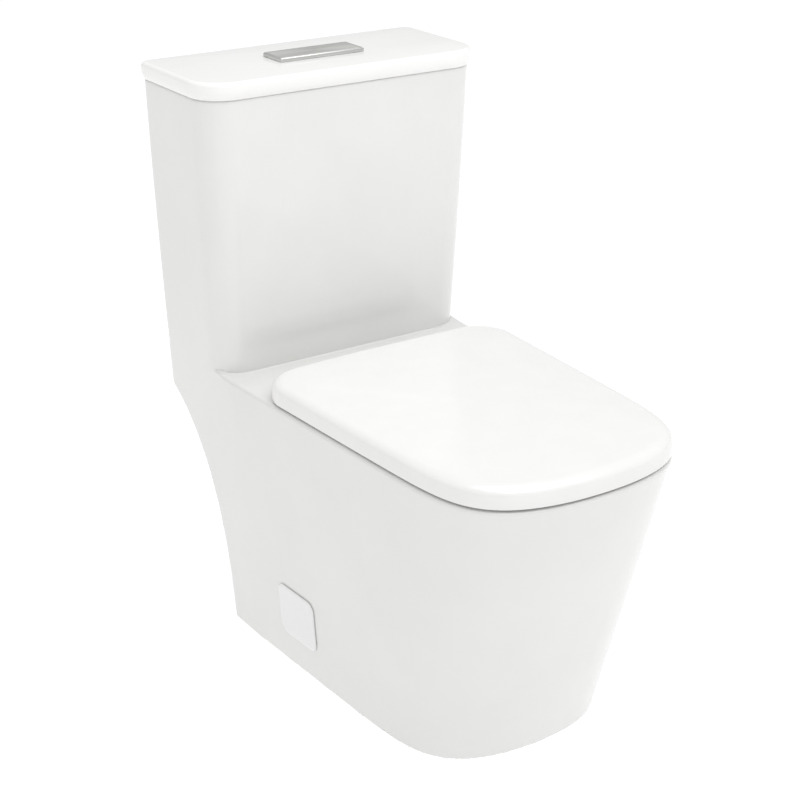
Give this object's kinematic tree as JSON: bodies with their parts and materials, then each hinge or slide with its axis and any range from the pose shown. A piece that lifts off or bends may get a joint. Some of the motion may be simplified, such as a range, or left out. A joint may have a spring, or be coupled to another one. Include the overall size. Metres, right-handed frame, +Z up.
{
  "type": "toilet",
  "caption": "One-piece skirted floor-standing toilet with a square tank, lift-off lid, plate flush button and a slow-closing hinged seat and cover, shown closed.",
  "frame": {"origin": "on the floor, under the middle of the object", "axes": "+Z up; -Y to the front of the bowl, +Y to the wall behind the tank; +X to the toilet's left, so the fill valve stands at -X"},
  "size_m": [0.406, 0.686, 0.7552],
  "materials": {
    "glazed_ceramic": "glossy vitreous glaze, white",
    "seat_plastic": "glossy moulded thermoset, white",
    "cap_plastic": "glossy moulded plastic, white",
    "brushed_metal": "fine straight brushing",
    "chrome": "polished plating",
    "stainless_steel": "plain drawn wire and bar",
    "brass": "turned, unplated",
    "white_plastic": "satin moulded plastic",
    "grey_plastic": "satin moulded plastic",
    "blue_plastic": "satin moulded plastic",
    "black_rubber": "matt moulded rubber",
    "clear_rubber": "soft translucent elastomer"
  },
  "bodies": {
    "toilet": {"ceramic_body": "glazed_ceramic", "closet_bolt_left": "brass", "closet_bolt_right": "brass", "closet_nut_left": "brass", "closet_nut_right": "brass", "closet_washer_left": "brass", "closet_washer_right": "brass", "fill_valve_gasket": "black_rubber", "fill_valve_head": "blue_plastic", "fill_valve_locknut": "white_plastic", "fill_valve_riser": "white_plastic", "float_arm_pin": "stainless_steel", "flush_valve_bolt_left": "stainless_steel", "flush_valve_bolt_right": "stainless_steel", "flush_valve_gasket": "black_rubber", "flush_valve_nut_left": "stainless_steel", "flush_valve_nut_right": "stainless_steel", "flush_valve_seat": "grey_plastic", "flush_valve_tower": "white_plastic", "hinge_damper_left": "grey_plastic", "hinge_damper_right": "grey_plastic", "hinge_post_left": "chrome", "hinge_post_right": "chrome", "outlet_seal": "black_rubber", "refill_tube": "clear_rubber", "rocker_pin": "stainless_steel", "seat_anchor_left": "black_rubber", "seat_anchor_right": "black_rubber", "seat_bolt_left": "stainless_steel", "seat_bolt_right": "stainless_steel", "side_cap_left": "cap_plastic", "side_cap_right": "cap_plastic"},
    "tank_lid": {"tank_lid": "glazed_ceramic", "button_bezel": "chrome", "button_clamp_bridge": "white_plastic", "button_clamp_nut": "white_plastic", "button_spring": "stainless_steel"},
    "flush_button": {"flush_button": "brushed_metal", "flush_rod": "white_plastic"},
    "rocker": {"flush_rocker": "blue_plastic"},
    "canister": {"flush_canister": "grey_plastic", "flush_seal": "black_rubber"},
    "float": {"fill_float": "grey_plastic", "float_link": "white_plastic"},
    "float_arm": {"float_arm": "white_plastic"},
    "seat_ring": {"seat_ring": "seat_plastic", "ring_bumper_back_left": "clear_rubber", "ring_bumper_back_right": "clear_rubber", "ring_bumper_front_left": "clear_rubber", "ring_bumper_front_right": "clear_rubber"},
    "seat_cover": {"seat_cover": "seat_plastic", "cover_bumper_back_left": "clear_rubber", "cover_bumper_back_right": "clear_rubber", "cover_bumper_front_left": "clear_rubber", "cover_bumper_front_right": "clear_rubber"}
  },
  "joints": [
    {"name": "tank_lid_lift", "type": "slide", "parent": "toilet", "child": "tank_lid", "axis": [0, 0, 1], "range_m": [0, 0.2]},
    {"name": "flush_button_press", "type": "slide", "parent": "tank_lid", "child": "flush_button", "axis": [0, 0, -1], "range_m": [0, 0.005], "stiffness_N_per_m": 400, "deforming": ["button_spring"]},
    {"name": "rocker_tilt", "type": "hinge", "parent": "toilet", "child": "rocker", "pos_m": [-0.03, 0.2548, 0.66], "axis": [0, -1, 0], "range_deg": [0, 18.5]},
    {"name": "canister_lift", "type": "slide", "parent": "toilet", "child": "canister", "axis": [0, 0, 1], "range_m": [0, 0.0105]},
    {"name": "float_drop", "type": "slide", "parent": "toilet", "child": "float", "axis": [0, 0, -1], "range_m": [0, 0.012]},
    {"name": "float_arm_swing", "type": "hinge", "parent": "toilet", "child": "float_arm", "pos_m": [-0.125, 0.26484, 0.66], "axis": [1, 0, 0], "range_deg": [0, 18.7]},
    {"name": "seat_ring_hinge", "type": "hinge", "parent": "toilet", "child": "seat_ring", "pos_m": [0, 0.104, 0.387], "axis": [-1, 0, 0], "range_deg": [0, 95]},
    {"name": "seat_cover_hinge", "type": "hinge", "parent": "seat_ring", "child": "seat_cover", "pos_m": [0, 0.104, 0.387], "axis": [1, 0, 0], "range_deg": [-95, 0]}
  ],
  "couplings": [
    {"joint": "rocker_tilt", "follows": "flush_button_press", "rad_per_m": 63.5},
    {"joint": "canister_lift", "follows": "flush_button_press", "ratio": 2.05},
    {"joint": "float_arm_swing", "follows": "float_drop", "rad_per_m": 27.05}
  ]
}
